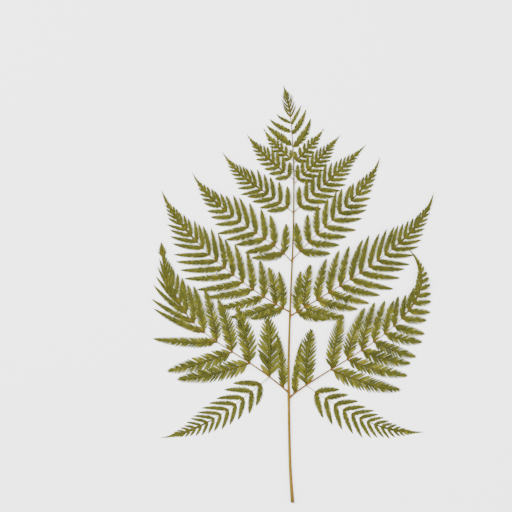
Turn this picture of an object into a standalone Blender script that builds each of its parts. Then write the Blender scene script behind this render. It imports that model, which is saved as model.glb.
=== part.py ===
"""A cut bracken frond lying flat: one tapering stem, nine pinnae on each side and a leafy tip.

Metres. The frond lies in the XY plane with its foot at -Y and its tip at +Y, and its lowest
leaflets rest on Z = 0. Each pinna is a closed leafy plate of its own: a midrib (the costa) with
its pinnules, laid like a shingle, so that its upper half passes over the pinna above it.
"""

from collections import namedtuple
import math

import bmesh
import bpy
from mathutils import Vector

# ---------------------------------------------------------------- driving dimensions, metres
FROND_CENTRE = (0.00325, 0.3344)  # middle of the frond's outline, which becomes the origin
STEM_LINE = (
    (0.004, 0.000),
    (0.000, 0.065),
    (-0.002, 0.165),
    (-0.002, 0.240),
    (0.001, 0.330),
    (0.005, 0.430),
    (0.006, 0.530),
    (0.003, 0.590),
    (0.001, 0.612),
)
STEM_GIRTH = (0.0064, 0.0050, 0.0045, 0.0041, 0.0034, 0.0029, 0.0022, 0.0016, 0.0013)
STEM_LIFT = (0.0034, 0.0036, 0.0038, 0.0039, 0.0039, 0.0038, 0.0032, 0.0026, 0.0023)
STEM_STEPS = 7  # rings of the stem between two of the places above
STEM_SIDES = 3  # finish of the stem's round section
GAP = 0.0003  # clearance between neighbouring pieces

COSTA_WIDTH = 0.0062  # width of a costa at its root, per metre of its length
COSTA_FINE = 0.0003  # half its width at the tip
COSTA_THICK = 0.0016  # of a long pinna, where it leaves the stem
COSTA_TAPER = 0.0040  # thickness at the root that each metre of length adds to the leaf's own
LEAF_THICK = 0.0007
EDGE_THICK = 0.0005
SINK_CLEARANCE = 0.0002  # between the lowest leaflets and the table
SHINGLE_SHARE = 0.35  # of the lower pinnules' length, over which a pinna sinks to the table
SHINGLE_LEAST = 0.0090
RISE_FROM = 0.66  # share of a lifted pinna's length where it begins to rise
RISE_POWER = 0.7

# share of a pinna's length
FIRST_PAIR = 0.085
LAST_PAIR = 0.91
LOWEST_PLACES = {-1: (0.035, 0.120, 0.235), 1: (0.032, 0.095, 0.225)}  # see make_pinna
SHRINK = 0.94  # each space between pinnules over the one before it
LOWEST_SHRINK = {-1: 0.88, 1: 0.90}  # the same for the lowest pinnae
DIVIDED_SHRINK = 0.93  # and for their divided pinnules
REACH_FALL = 0.55  # over which the pinnules dwindle
REACH_END = 0.96  # where they would be gone
BASE_SHARE = 0.42  # of the space, taken by a pinnule's root
WIDTH_SHARE = 0.80  # of the space, taken by its widest place
LEAST_SPREAD = 30.0  # degrees: a pinnule nearer to its costa grows no narrower
TAIL_SHARE = 0.35  # of the way from the last pinnules to the tip, where the tail is widest
PINNULE_CURL = 7.0  # degrees that a pinnule turns towards its pinna's tip

# outlines: share of the length, share of the full width there
LONG_PINNULE = 0.045  # pinnules over this length have the second outline
SHORT_OUTLINE = ((0.36, 1.0),)
LONG_OUTLINE = ((0.30, 1.0), (0.68, 0.72))
SMALL_PINNA_OUTLINE = ((0.22, 0.85), (0.42, 0.78), (0.64, 0.55), (0.84, 0.28))

# height: where it leaves the stem; pull_1, pull_2, tip: the curve of its costa;
# pairs: of pinnules; upper, lower: length of the longest one on each side;
# rise: how far its tip lifts, where it passes over the pinna above
Pinna = namedtuple("Pinna", "height pull_1 pull_2 tip pairs upper lower rise", defaults=(0.0,))
LEFT_PINNAE = (
    Pinna(0.176, (-0.103, 0.267), (-0.188, 0.257), (-0.206, 0.418), 14, 0.090, 0.098),
    Pinna(0.305, (-0.068, 0.339), (-0.180, 0.427), (-0.206, 0.501), 17, 0.062, 0.078),
    Pinna(0.385, (-0.045, 0.437), (-0.123, 0.462), (-0.157, 0.529), 14, 0.050, 0.050),
    Pinna(0.463, (-0.035, 0.499), (-0.079, 0.512), (-0.109, 0.562), 14, 0.034, 0.035),
    Pinna(0.516, (-0.014, 0.532), (-0.058, 0.568), (-0.070, 0.591), 11, 0.024, 0.024),
    Pinna(0.546, (-0.008, 0.559), (-0.036, 0.580), (-0.043, 0.601), 9, 0.014, 0.015),
    Pinna(0.570, (-0.010, 0.581), (-0.028, 0.592), (-0.038, 0.604), 0, 0.0075, 0.0070),
    Pinna(0.592, (-0.008, 0.597), (-0.024, 0.602), (-0.033, 0.614), 0, 0.0055, 0.0050),
    Pinna(0.606, (-0.006, 0.612), (-0.016, 0.613), (-0.0216, 0.622), 0, 0.0036, 0.0036),
)
RIGHT_PINNAE = (
    Pinna(0.167, (0.058, 0.223), (0.294, 0.308), (0.178, 0.418), 18, 0.088, 0.090, 0.006),
    Pinna(0.298, (0.080, 0.348), (0.218, 0.420), (0.2296, 0.498), 18, 0.068, 0.070),
    Pinna(0.388, (0.048, 0.440), (0.132, 0.500), (0.144, 0.554), 14, 0.047, 0.050),
    Pinna(0.464, (0.040, 0.496), (0.095, 0.545), (0.123, 0.574), 14, 0.034, 0.035),
    Pinna(0.510, (0.028, 0.530), (0.062, 0.566), (0.082, 0.590), 12, 0.024, 0.026),
    Pinna(0.542, (0.022, 0.560), (0.044, 0.582), (0.056, 0.601), 9, 0.015, 0.017),
    Pinna(0.567, (0.016, 0.578), (0.030, 0.596), (0.033, 0.615), 0, 0.0075, 0.0075),
    Pinna(0.588, (0.012, 0.599), (0.022, 0.613), (0.0256, 0.630), 0, 0.0060, 0.0055),
    Pinna(0.603, (0.006, 0.613), (0.014, 0.625), (0.0184, 0.637), 0, 0.0036, 0.0036),
)
# the leafy tip of the frond, above the highest pinna
TIP_ROOT = (0.0010, 0.6125)
TIP_PULLS = ((0.0, 0.630), (-0.005, 0.650))
TIP_END = (-0.011, 0.669)
TIP_PAIRS = 9
TIP_FIRST = 0.07
TIP_LAST = 0.88
TIP_REACH = 0.024

# degrees between a pinnule and its costa, at the root and at the tip of the pinna
UPPER_ANGLE = (62.0, 30.0)
UPPER_TURN = 0.8  # power of the share of the way, as the angle changes
LOWER_ANGLE = (55.0, 18.0)
LOWER_TURN = 2.2
TIP_ANGLE = (36.0, 30.0)

# the lowest pinnule of each lowest pinna, which is divided again
DIVIDED_REACH = {-1: 0.204, 1: 0.210}
DIVIDED_ANGLE = {-1: 77.0, 1: 68.0}  # degrees between it and its costa
DIVIDED_BEND = {-1: 34.0, 1: 41.0}  # degrees that it turns back towards the pinna's own way
DIVIDED_PAIRS = 15
DIVIDED_FIRST = 0.09
DIVIDED_FILL = 0.95  # of the plain pinnules' share of the space
DIVIDED_UPPER = {-1: 0.045, 1: 0.037}  # longest
DIVIDED_LOWER = {-1: 0.036, 1: 0.043}
DIVIDED_SPREAD = (50.0, 37.0)  # degrees, at its root and tip
BESIDE_STEM_FILL = 0.62  # the same for the pinnule that stands beside the stem
BESIDE_STEM_ANGLE = 48.0  # degrees between it and its costa
# lower pinnules of the lowest pinnae: gain and power of the rest of the costa's length, and
# their angles by share of the way
LOWEST_REACH = {-1: (0.156, 0.80), 1: (0.183, 1.58)}
LOWEST_ANGLE = {
    -1: ((0.0, 51.0), (0.235, 51.0), (0.335, 53.0), (0.423, 39.0), (0.50, 24.0), (0.57, 23.0), (1.0, -4.0)),
    1: ((0.0, 57.0), (0.225, 57.0), (0.31, 53.0), (0.40, 60.0), (0.50, 62.0), (1.0, 55.0)),
}
LOWEST_FALL = {-1: (0.55, 1.0), 1: (0.62, 1.4)}  # how their upper pinnules dwindle: span, power

LEAF_GREEN = (0.190, 0.205, 0.022)
STEM_STRAW = (0.36, 0.22, 0.045)

# one side of a costa: functions of the pinnule's count and its share of the way, for its length,
# its angle and how much of its space it fills, and the count of the one that is divided again
Side = namedtuple("Side", "reach angle fill divided", defaults=(None,))


def finish(name, colour, roughness):
    """One plain material."""
    material = bpy.data.materials.new(name)
    material.use_nodes = True
    shader = material.node_tree.nodes["Principled BSDF"]
    shader.inputs["Base Color"].default_value = (*colour, 1.0)
    shader.inputs["Roughness"].default_value = roughness
    shader.inputs["Metallic"].default_value = 0.0
    return material


def heading(degrees):
    """Unit vector that points this many degrees round from +X."""
    turn = math.radians(degrees)
    return Vector((math.cos(turn), math.sin(turn)))


def degrees_of(way):
    """Heading of a vector."""
    return math.degrees(math.atan2(way.y, way.x))


def smooth_between(values, place):
    """Value at a fractional place in a row of values, on a smooth curve through them."""
    last = len(values) - 1
    step = min(int(place), last - 1)
    part = place - step
    before = values[max(step - 1, 0)]
    here = values[step]
    there = values[step + 1]
    after = values[min(step + 2, last)]
    lead = (there - before) / 2
    follow = (after - here) / 2
    return (
        here * (2 * part**3 - 3 * part**2 + 1)
        + lead * (part**3 - 2 * part**2 + part)
        + there * (3 * part**2 - 2 * part**3)
        + follow * (part**3 - part**2)
    )


class Axis:
    """A curved line in the plane, walked by its length."""

    SAMPLES = 60

    def __init__(self, points):
        self.points = points
        self.marks = [0.0]
        for before, after in zip(points, points[1:]):
            self.marks.append(self.marks[-1] + (after - before).length)
        self.length = self.marks[-1]

    @classmethod
    def pulled(cls, root, pull_1, pull_2, tip):
        """From root to tip, pulled towards two points on the way."""
        root, pull_1, pull_2, tip = (Vector(point) for point in (root, pull_1, pull_2, tip))
        points = []
        for step in range(cls.SAMPLES + 1):
            part = step / cls.SAMPLES
            rest = 1 - part
            points.append(
                root * rest**3
                + pull_1 * 3 * rest**2 * part
                + pull_2 * 3 * rest * part**2
                + tip * part**3
            )
        return cls(points)

    @classmethod
    def turning(cls, root, start, bend, length):
        """From root at a heading of start degrees, turning by bend degrees on its way."""
        points = [Vector(root)]
        for step in range(cls.SAMPLES):
            way = heading(start + bend * (step / cls.SAMPLES) ** 2)
            points.append(points[-1] + way * length / cls.SAMPLES)
        return cls(points)

    def at(self, distance):
        """Point and direction at this distance from the root."""
        step = 0
        while step < len(self.points) - 2 and self.marks[step + 1] < distance:
            step += 1
        before, after = self.points[step], self.points[step + 1]
        way = (after - before).normalized()
        return before + way * (distance - self.marks[step]), way

    def beside(self, point):
        """Distance of a point from the line, positive on its left, and its share of the way."""
        best = min(range(len(self.points) - 1), key=lambda step: (self.points[step] - point).length)
        way = (self.points[best + 1] - self.points[best]).normalized()
        return way.cross(point - self.points[best]), self.marks[best] / self.length


def stem_place(height):
    """Place in STEM_LINE, as a fraction, at this height up the frond."""
    rows = [row[1] for row in STEM_LINE]
    place = 0.0
    for step in range(len(rows) - 1):
        if rows[step] <= height:
            place = step + min(1.0, (height - rows[step]) / (rows[step + 1] - rows[step]))
    return place


class Leaf:
    """A leafy piece: flat cells that share their corners, then made solid."""

    def __init__(self, lift):
        self.mesh = bmesh.new()
        self.thick = self.mesh.verts.layers.float.new("thickness")
        self.lift = lift

    def corner(self, point, thickness):
        """A corner at a point of the plane, at the height that the leaf has there."""
        corner = self.mesh.verts.new((point.x, point.y, self.lift(point)))
        corner[self.thick] = thickness
        return corner

    def cell(self, *corners):
        """A face between corners that run anticlockwise."""
        self.mesh.faces.new(corners)

    def solid(self, name, material):
        """Give the leaf its thickness and make it an object."""
        grown = bmesh.ops.extrude_face_region(self.mesh, geom=self.mesh.faces[:])
        top = {item for item in grown["geom"] if isinstance(item, bmesh.types.BMVert)}
        for corner in self.mesh.verts:
            half = corner[self.thick] / 2
            corner.co.z += half if corner in top else -half
            corner.co.x -= FROND_CENTRE[0]
            corner.co.y -= FROND_CENTRE[1]
        bmesh.ops.recalc_face_normals(self.mesh, faces=self.mesh.faces[:])
        mesh = bpy.data.meshes.new(name)
        self.mesh.to_mesh(mesh)
        self.mesh.free()
        mesh.materials.append(material)
        piece = bpy.data.objects.new(name, mesh)
        bpy.context.scene.collection.objects.link(piece)
        return piece


def pinnule(leaf, side, back, front, way, length, width):
    """One pinnule on an edge of its costa: side is 1 on the left of the costa, -1 on its right."""
    root = (back.co.xy + front.co.xy) / 2
    rows = []
    for share, breadth in LONG_OUTLINE if length > LONG_PINNULE else SHORT_OUTLINE:
        turned = way - side * PINNULE_CURL * share
        along = heading(turned)
        across = Vector((-along.y, along.x)) * width * breadth / 2
        middle = root + along * length * share
        left = leaf.corner(middle + across, LEAF_THICK)
        right = leaf.corner(middle - across, LEAF_THICK)
        rows.append((left, right))
    tip = leaf.corner(root + heading(way - side * PINNULE_CURL) * length, EDGE_THICK)
    left, right = (back, front) if side > 0 else (front, back)
    for next_left, next_right in rows:
        leaf.cell(right, next_right, next_left, left)
        left, right = next_left, next_right
    leaf.cell(right, tip, left)


def spaced(first, last, count, shrink=SHRINK):
    """Places from first to last whose spaces shrink evenly."""
    total = (1 - shrink ** (count - 1)) / (1 - shrink)
    space = (last - first) / total
    places = [first]
    for step in range(count - 1):
        places.append(places[-1] + space * shrink**step)
    return places


def reach_share(share, fall=REACH_FALL, power=1.0):
    """Length of a pinnule this far along its costa, over that of the longest."""
    return min(1.0, (REACH_END - share) / fall) ** power


def table_value(table, share):
    """Value of a table of (share, value) rows at a share."""
    for (low, here), (high, there) in zip(table, table[1:]):
        if share <= high:
            return here + (there - here) * (share - low) / (high - low)
    return table[-1][1]


def costa_half(length, share):
    """Half the width of a costa of this length, this far along it."""
    return max(length * COSTA_WIDTH * (1.0 - share) / 2, COSTA_FINE)


def costa_thick(length, share):
    """Thickness of a costa of this length, this far along it."""
    root = min(COSTA_THICK, LEAF_THICK + length * COSTA_TAPER)
    return root + (LEAF_THICK - root) * share


def ring(leaf, axis, distance):
    """Left and right corner of a costa at one place."""
    share = distance / axis.length
    point, way = axis.at(distance)
    across = Vector((-way.y, way.x)) * costa_half(axis.length, share)
    thick = costa_thick(axis.length, share)
    return leaf.corner(point + across, thick), leaf.corner(point - across, thick)


def blend(pair, share):
    """Value between two, this far from the first to the second."""
    return pair[0] + (pair[1] - pair[0]) * share


def grow(leaf, axis, corners, places, sides):
    """Grow a costa with its pinnules. corners: its left and right one at the root.
    sides: the Side on its left (1) and on its right (-1)."""
    left, right = corners
    for step, place in enumerate(places):
        share = place / axis.length
        space = min(
            places[min(step + 1, len(places) - 1)] - places[min(step, len(places) - 2)],
            places[max(step, 1)] - places[max(step - 1, 0)],
        )
        back = ring(leaf, axis, place - space * BASE_SHARE / 2)
        leaf.cell(right, back[1], back[0], left)
        front = ring(leaf, axis, place + space * BASE_SHARE / 2)
        leaf.cell(back[1], front[1], front[0], back[0])
        way = degrees_of(axis.at(place)[1])
        for side, rules in sides.items():
            angle = rules.angle(step, share)
            length = rules.reach(step, share)
            spread = math.sin(math.radians(max(angle, LEAST_SPREAD)))
            width = space * WIDTH_SHARE * spread * rules.fill(step)
            edge = (back[0], front[0]) if side > 0 else (back[1], front[1])
            if rules.divided == step:
                divided(leaf, side, edge, way + side * angle)
            elif length > 0:
                pinnule(leaf, side, *edge, way + side * angle, length, width)
        left, right = front
    wide = ring(leaf, axis, blend((places[-1], axis.length), TAIL_SHARE))
    tip = leaf.corner(axis.at(axis.length)[0], EDGE_THICK)
    leaf.cell(right, wide[1], wide[0], left)
    leaf.cell(wide[1], tip, wide[0])


def plain_side(longest, angles, turn=1.0, fill=1.0):
    """A side whose pinnules dwindle evenly towards the tip."""
    return Side(
        lambda step, share: longest * reach_share(share),
        lambda step, share: blend(angles, share**turn),
        lambda step: fill,
    )


def divided(leaf, side, edge, way):
    """The large lowest pinnule, with small pinnules of its own. It is on the lower side, which is
    the left of a costa on the frond's left."""
    back, front = edge
    hand = -side
    root = (back.co.xy + front.co.xy) / 2
    axis = Axis.turning(root, way, -side * DIVIDED_BEND[hand], DIVIDED_REACH[hand])
    places = spaced(axis.length * DIVIDED_FIRST, axis.length * LAST_PAIR, DIVIDED_PAIRS, DIVIDED_SHRINK)
    corners = (back, front) if side > 0 else (front, back)
    upper = plain_side(DIVIDED_UPPER[hand], DIVIDED_SPREAD, fill=DIVIDED_FILL)
    lower = plain_side(DIVIDED_LOWER[hand], DIVIDED_SPREAD, fill=DIVIDED_FILL)
    grow(leaf, axis, corners, places, {-side: upper, side: lower})


def make_pinna(name, row, hand, lowest, material):
    """One pinna. hand: -1 on the frond's left, 1 on its right."""
    place = stem_place(row.height)
    root = (smooth_between([point[0] for point in STEM_LINE], place), row.height)
    lift = smooth_between(STEM_LIFT, place)
    girth = smooth_between(STEM_GIRTH, place)
    axis = Axis.pulled(root, row.pull_1, row.pull_2, row.tip)
    swing = lift - LEAF_THICK / 2 - SINK_CLEARANCE
    breadth = max(SHINGLE_LEAST, row.lower * SHINGLE_SHARE)

    def shingle(point):
        """Height of the leaf: low beyond its lower edge, high over the pinna above it."""
        aside, share = axis.beside(point)
        raised = max(0.0, (share - RISE_FROM) / (1.0 - RISE_FROM))
        return lift + swing * math.tanh(hand * aside / breadth) + row.rise * raised**RISE_POWER

    leaf = Leaf(shingle)
    start = 0.0
    while abs(axis.at(start)[0].x - root[0]) < girth / 2 + GAP + costa_half(axis.length, 0.0):
        start += GAP / 2
    corners = ring(leaf, axis, start)
    if row.pairs == 0:
        simple(leaf, axis, corners, start, {hand: row.upper, -hand: row.lower})
        return leaf.solid(name, material)

    if lowest:
        # an upper pinnule beside the stem, the divided lower one, and then the others
        places = [axis.length * share for share in LOWEST_PLACES[hand][:2]]
        first = axis.length * LOWEST_PLACES[hand][2]
        places += spaced(first, axis.length * LAST_PAIR, row.pairs, LOWEST_SHRINK[hand])
    else:
        places = spaced(axis.length * FIRST_PAIR, axis.length * LAST_PAIR, row.pairs)

    def lowest_reach(step, share):
        """Length of a lowest pinna's lower pinnules. It has none beside the stem."""
        gain, power = LOWEST_REACH[hand]
        return gain * (1.0 - share) ** power if step else 0.0

    def lowest_angle(step, share):
        """Angle of a lowest pinna's lower pinnules."""
        return DIVIDED_ANGLE[hand] if step == 1 else table_value(LOWEST_ANGLE[hand], share)

    def upper_angle(share):
        """Angle of an upper pinnule."""
        return blend(UPPER_ANGLE, share**UPPER_TURN)

    upper = plain_side(row.upper, UPPER_ANGLE, UPPER_TURN)
    lower = plain_side(row.lower, LOWER_ANGLE, LOWER_TURN)
    if lowest:
        upper = upper._replace(
            reach=lambda step, share: row.upper * reach_share(share, *LOWEST_FALL[hand]),
            angle=lambda step, share: upper_angle(share) if step else BESIDE_STEM_ANGLE,
            fill=lambda step: 1.0 if step else BESIDE_STEM_FILL,
        )
        lower = Side(lowest_reach, lowest_angle, lambda step: 1.0, divided=1)
    grow(leaf, axis, corners, places, {hand: upper, -hand: lower})
    return leaf.solid(name, material)


def simple(leaf, axis, corners, start, reach):
    """A small undivided pinna: a narrow blade on both sides of its costa."""
    left, right = corners
    for share, breadth in SMALL_PINNA_OUTLINE:
        point, way = axis.at(start + (axis.length - start) * share)
        across = Vector((-way.y, way.x))
        next_left = leaf.corner(point + across * reach[1] * breadth, LEAF_THICK)
        next_right = leaf.corner(point - across * reach[-1] * breadth, LEAF_THICK)
        leaf.cell(right, next_right, next_left, left)
        left, right = next_left, next_right
    tip = leaf.corner(axis.at(axis.length)[0], EDGE_THICK)
    leaf.cell(right, tip, left)


def make_tip(name, material):
    """The top of the frond, where the stem carries single small leaflets."""
    axis = Axis.pulled(TIP_ROOT, *TIP_PULLS, TIP_END)
    lift = STEM_LIFT[-1]
    leaf = Leaf(lambda point: lift)
    corners = ring(leaf, axis, GAP)
    both = plain_side(TIP_REACH, TIP_ANGLE)._replace(
        reach=lambda step, share: TIP_REACH * reach_share(share) * (1.0 - share / 2)
    )
    places = spaced(axis.length * TIP_FIRST, axis.length * TIP_LAST, TIP_PAIRS)
    grow(leaf, axis, corners, places, {1: both, -1: both})
    return leaf.solid(name, material)


def make_stem(name, material):
    """Stem and rachis: one tapering round rod."""
    curve = bpy.data.curves.new(name, "CURVE")
    curve.dimensions = "3D"
    curve.bevel_depth = 1.0
    curve.bevel_resolution = STEM_SIDES
    curve.use_fill_caps = True
    rings = (len(STEM_LINE) - 1) * STEM_STEPS + 1
    line = curve.splines.new("POLY")
    line.points.add(rings - 1)
    for step, point in enumerate(line.points):
        place = step / STEM_STEPS
        x = smooth_between([row[0] for row in STEM_LINE], place)
        y = smooth_between([row[1] for row in STEM_LINE], place)
        z = smooth_between(STEM_LIFT, place)
        point.co = (x - FROND_CENTRE[0], y - FROND_CENTRE[1], z, 1.0)
        point.radius = smooth_between(STEM_GIRTH, place) / 2
    curve.materials.append(material)
    piece = bpy.data.objects.new(name, curve)
    bpy.context.scene.collection.objects.link(piece)
    return piece


def main():
    """Build the whole frond."""
    for item in list(bpy.context.scene.objects):
        bpy.data.objects.remove(item, do_unlink=True)
    green = finish("bracken_green", LEAF_GREEN, 0.62)
    straw = finish("bracken_stem", STEM_STRAW, 0.50)
    frond = bpy.data.objects.new("frond", None)
    bpy.context.scene.collection.objects.link(frond)
    pieces = [make_stem("stipe_and_rachis", straw)]
    for hand, word, rows in ((-1, "left", LEFT_PINNAE), (1, "right", RIGHT_PINNAE)):
        for count, row in enumerate(rows, 1):
            pieces.append(make_pinna(f"pinna_{word}_{count:02d}", row, hand, count == 1, green))
    pieces.append(make_tip("frond_tip", green))
    for piece in pieces:
        piece.parent = frond


main()
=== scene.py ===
import math
import random
from collections import namedtuple

import bmesh
import bpy
import numpy as np
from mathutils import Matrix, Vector, noise


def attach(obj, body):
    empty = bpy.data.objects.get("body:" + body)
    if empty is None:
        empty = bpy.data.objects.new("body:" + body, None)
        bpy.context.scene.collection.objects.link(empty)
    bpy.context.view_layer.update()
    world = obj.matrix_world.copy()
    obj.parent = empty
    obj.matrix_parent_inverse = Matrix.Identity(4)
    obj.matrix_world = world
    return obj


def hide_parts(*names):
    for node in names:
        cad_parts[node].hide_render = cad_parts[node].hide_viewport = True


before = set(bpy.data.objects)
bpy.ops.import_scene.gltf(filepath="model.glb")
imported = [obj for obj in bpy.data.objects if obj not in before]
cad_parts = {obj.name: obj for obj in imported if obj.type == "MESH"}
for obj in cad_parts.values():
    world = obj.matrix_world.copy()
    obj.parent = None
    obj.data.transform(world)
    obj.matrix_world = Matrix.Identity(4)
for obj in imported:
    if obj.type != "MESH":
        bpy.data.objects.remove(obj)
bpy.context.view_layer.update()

# A cut bracken frond lying flat, in metres, with its foot at -Y and its tip at +Y.
# ---- the plan of the frond
FROND_CENTRE = (0.00325, 0.3344)  # middle of the frond's outline, which is the origin
STEM_LINE = (
    (0.004, 0.000), (0.000, 0.065), (-0.002, 0.165), (-0.002, 0.240), (0.001, 0.330),
    (0.005, 0.430), (0.006, 0.530), (0.003, 0.590), (0.001, 0.612),
)
STEM_GIRTH = (0.0064, 0.0050, 0.0045, 0.0041, 0.0034, 0.0029, 0.0022, 0.0016, 0.0013)
STEM_LIFT = (0.0034, 0.0036, 0.0038, 0.0039, 0.0039, 0.0038, 0.0032, 0.0026, 0.0023)

LEAF_THICK = 0.0007  # of the leaf that the frame has
SINK_CLEARANCE = 0.0002
SHINGLE_SHARE = 0.35  # of the lower pinnules' length, over which a pinna sinks to the table
SHINGLE_LEAST = 0.0090
RISE_FROM = 0.66  # share of a lifted pinna's length where it begins to rise
RISE_POWER = 0.7
LEAF_ABOVE = 0.0003  # of the fine leaf over the middle of the frame's leaf
TABLE_GAP = 0.00008  # under a leaf that lies on the table
TABLE_LEAST = 0.00002
SOFT_LANDING = 0.0004  # height over which a sinking leaf is pressed flat

# share of a pinna's length
FIRST_PAIR = 0.085
LAST_PAIR = 0.91
NEAR_STEM = 0.042  # of one more pair, which the longer pinnae have near the stem
NEAR_STEM_LENGTH = 0.24  # metres: pinnae longer than this have it
NEAR_STEM_FILL = (1.5, 1.9)  # how much fuller it and the next pair are
NEAR_STEM_LOWER = 0.72  # length of its lower pinnule over that of the next
LOWEST_PLACES = {-1: (0.035, 0.120, 0.235), 1: (0.032, 0.095, 0.225)}
SHRINK = 0.94  # each space between pinnules over the one before it
LOWEST_SHRINK = {-1: 0.88, 1: 0.90}  # the same for the lowest pinnae
DIVIDED_SHRINK = 0.93  # and for their divided pinnules
REACH_FALL = 0.55  # over which the pinnules dwindle
REACH_END = 0.96  # where they would be gone
WIDTH_SHARE = 0.80  # of the space, taken by a pinnule
LEAST_SPREAD = 30.0  # degrees: a pinnule nearer to its costa grows no narrower
COSTA_THICK = 0.0041  # half the thickness of a pinna's costa at its root, over its length

# the small undivided pinnae near the top
SMALL_PINNA_OUTLINE = (
    (0.0, 0.55), (0.22, 0.85), (0.42, 0.78), (0.64, 0.55), (0.84, 0.28), (1.0, 0.04)
)
SMALL_PINNA_WING = 0.62  # of the outline, that is plain leaf
SMALL_PINNA_TEETH = 13  # on each side
SMALL_PINNA_SHRINK = 0.94
SMALL_PINNA_SPACE = 0.88 / 8.9  # of its length, that the first tooth has
SMALL_TOOTH_REACH = 1.35  # of the outline
SMALL_TOOTH_ANGLE = 44.0

# height: where it leaves the stem; pull_1, pull_2, tip: the curve of its costa;
# pairs: of pinnules; upper, lower: length of the longest one on each side; rise: of its tip
Pinna = namedtuple("Pinna", "height pull_1 pull_2 tip pairs upper lower rise", defaults=(0.0,))
LEFT_PINNAE = (
    Pinna(0.176, (-0.103, 0.267), (-0.188, 0.257), (-0.206, 0.418), 14, 0.090, 0.098),
    Pinna(0.305, (-0.068, 0.339), (-0.180, 0.427), (-0.206, 0.501), 17, 0.062, 0.078),
    Pinna(0.385, (-0.045, 0.437), (-0.123, 0.462), (-0.157, 0.529), 14, 0.050, 0.050),
    Pinna(0.463, (-0.035, 0.499), (-0.079, 0.512), (-0.109, 0.562), 14, 0.034, 0.035),
    Pinna(0.516, (-0.014, 0.532), (-0.058, 0.568), (-0.070, 0.591), 11, 0.024, 0.024),
    Pinna(0.546, (-0.008, 0.559), (-0.036, 0.580), (-0.043, 0.601), 9, 0.014, 0.015),
    Pinna(0.570, (-0.010, 0.581), (-0.028, 0.592), (-0.038, 0.604), 0, 0.0075, 0.0070),
    Pinna(0.592, (-0.008, 0.597), (-0.024, 0.602), (-0.033, 0.614), 0, 0.0055, 0.0050),
    Pinna(0.606, (-0.006, 0.612), (-0.016, 0.613), (-0.0216, 0.622), 0, 0.0036, 0.0036),
)
RIGHT_PINNAE = (
    Pinna(0.167, (0.058, 0.223), (0.294, 0.308), (0.178, 0.418), 18, 0.088, 0.090, 0.006),
    Pinna(0.298, (0.080, 0.348), (0.218, 0.420), (0.2296, 0.498), 18, 0.068, 0.070),
    Pinna(0.388, (0.048, 0.440), (0.132, 0.500), (0.144, 0.554), 14, 0.047, 0.050),
    Pinna(0.464, (0.040, 0.496), (0.095, 0.545), (0.123, 0.574), 14, 0.034, 0.035),
    Pinna(0.510, (0.028, 0.530), (0.062, 0.566), (0.082, 0.590), 12, 0.024, 0.026),
    Pinna(0.542, (0.022, 0.560), (0.044, 0.582), (0.056, 0.601), 9, 0.015, 0.017),
    Pinna(0.567, (0.016, 0.578), (0.030, 0.596), (0.033, 0.615), 0, 0.0075, 0.0075),
    Pinna(0.588, (0.012, 0.599), (0.022, 0.613), (0.0256, 0.630), 0, 0.0060, 0.0055),
    Pinna(0.603, (0.006, 0.613), (0.014, 0.625), (0.0184, 0.637), 0, 0.0036, 0.0036),
)
TIP_ROOT = (0.0010, 0.6125)
TIP_PULLS = ((0.0, 0.630), (-0.005, 0.650))
TIP_END = (-0.011, 0.669)
TIP_PAIRS = 9
TIP_FIRST = 0.07
TIP_LAST = 0.88
TIP_REACH = 0.024
TIP_THICK, TIP_AGE = 0.00050, 0.25  # half the thickness of its stem, and how brown it is

# degrees between a pinnule and its costa, at the root and at the tip of the pinna
UPPER_ANGLE = (62.0, 30.0)
UPPER_TURN = 0.8  # power of the share of the way, as the angle changes
LOWER_ANGLE = (55.0, 18.0)
LOWER_TURN = 2.2
TIP_ANGLE = (36.0, 30.0)

# the lowest pinnule of each lowest pinna, which is divided again
DIVIDED_REACH = {-1: 0.204, 1: 0.210}
DIVIDED_ANGLE = {-1: 77.0, 1: 68.0}
DIVIDED_BEND = {-1: 34.0, 1: 41.0}
DIVIDED_PAIRS = 15
DIVIDED_FIRST = 0.09
DIVIDED_FILL = 0.95
DIVIDED_UPPER = {-1: 0.045, 1: 0.037}
DIVIDED_LOWER = {-1: 0.036, 1: 0.043}
DIVIDED_SPREAD = (50.0, 37.0)
DIVIDED_THICK, DIVIDED_AGE = 0.00045, 0.05
BESIDE_STEM_FILL = 0.95
BESIDE_STEM_ANGLE = 48.0
FIRST_FILL = 1.9
LOWEST_REACH = {-1: (0.156, 0.80), 1: (0.183, 1.58)}
LOWEST_ANGLE = {
    -1: (
        (0.0, 51.0), (0.235, 51.0), (0.335, 53.0), (0.423, 39.0), (0.50, 24.0), (0.57, 23.0),
        (1.0, -4.0),
    ),
    1: ((0.0, 57.0), (0.225, 57.0), (0.31, 53.0), (0.40, 60.0), (0.50, 62.0), (1.0, 55.0)),
}
LOWEST_FALL = {-1: (0.55, 1.0), 1: (0.62, 1.4)}  # how their upper pinnules dwindle: span, power

# ---- how the leaf is divided
PINNULE_CURL = 7.0  # degrees that a pinnule turns towards its pinna's tip
CURL_CHANCE = (0.6, 1.4)
WAY_CHANCE = 2.2  # degrees that it may stray either way
LENGTH_CHANCE = (0.95, 1.04)
ARCH_CHANCE = (-0.0002, 0.0009)  # how high its middle stands
DROOP_CHANCE = (-0.0010, 0.0008)  # how high its tip stands
LONG_PINNULE = 0.05  # length from which it arches and droops fully
MIDRIB_LEAST = 0.00014
MIDRIB_THICK = 0.0030  # and more than that, for its length
MIDRIB_END = 0.00008
WHOLE_WING = 0.78  # of the width of a barely cut pinnule, that is plain leaf
CUT_WING = (0.11, 0.42, 1.4)  # of a deeply cut one: at the root, more at the tip, power
CUT_WING_FROM = 0.35
FULLER = 1.22  # the leaflets' tips over the plain width of a pinnule
LOWEST_FILL = 1.30  # how much wider the pinnules of the lowest pinnae are for their spaces
UPPER_FILL = 1.18
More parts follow.
